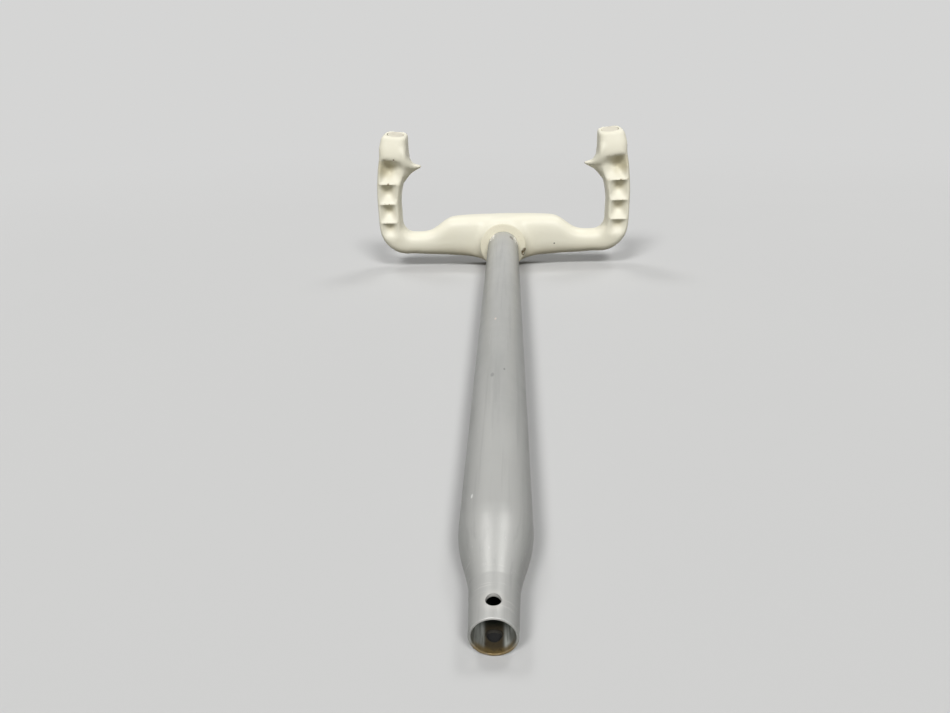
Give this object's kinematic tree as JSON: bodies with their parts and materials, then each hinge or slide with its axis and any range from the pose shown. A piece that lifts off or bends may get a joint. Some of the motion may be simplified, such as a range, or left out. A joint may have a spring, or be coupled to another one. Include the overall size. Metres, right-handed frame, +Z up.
{
  "type": "aircraft control yoke",
  "caption": "Ram's-horn control yoke with moulded finger grips and thumb hooks on a swaged steel control tube.",
  "frame": {"origin": "where the axis of the bolt hole in the tube's forward end crosses the tube's axis", "axes": "+Y along the tube's axis from its forward end aft to the pilot, +Z up the horns, +X to the right as seen from the forward end"},
  "size_m": [0.2908, 0.6243, 0.156],
  "materials": {
    "cream_moulding": "satin cream, aged",
    "tube_steel": "dull plated",
    "armature_steel": "matt primer over welded steel",
    "plug_plastic": "matt beige",
    "turned_alloy": "turned",
    "fastener_steel": "yellow-passivated plating"
  },
  "bodies": {
    "root": {"grip_moulding": "cream_moulding", "control_tube": "tube_steel", "hub_sleeve": "armature_steel", "left_core_tube": "armature_steel", "right_core_tube": "armature_steel", "left_cup": "armature_steel", "right_cup": "armature_steel", "left_upper_gusset": "armature_steel", "right_upper_gusset": "armature_steel", "left_lower_gusset": "armature_steel", "right_lower_gusset": "armature_steel", "left_horn_plug": "plug_plastic", "right_horn_plug": "plug_plastic", "tube_end_plug": "turned_alloy", "end_plug_rivets": "turned_alloy", "index_pin": "fastener_steel", "plain_washer": "fastener_steel", "lock_washer": "fastener_steel", "retaining_bolt": "fastener_steel"}
  },
  "joints": []
}
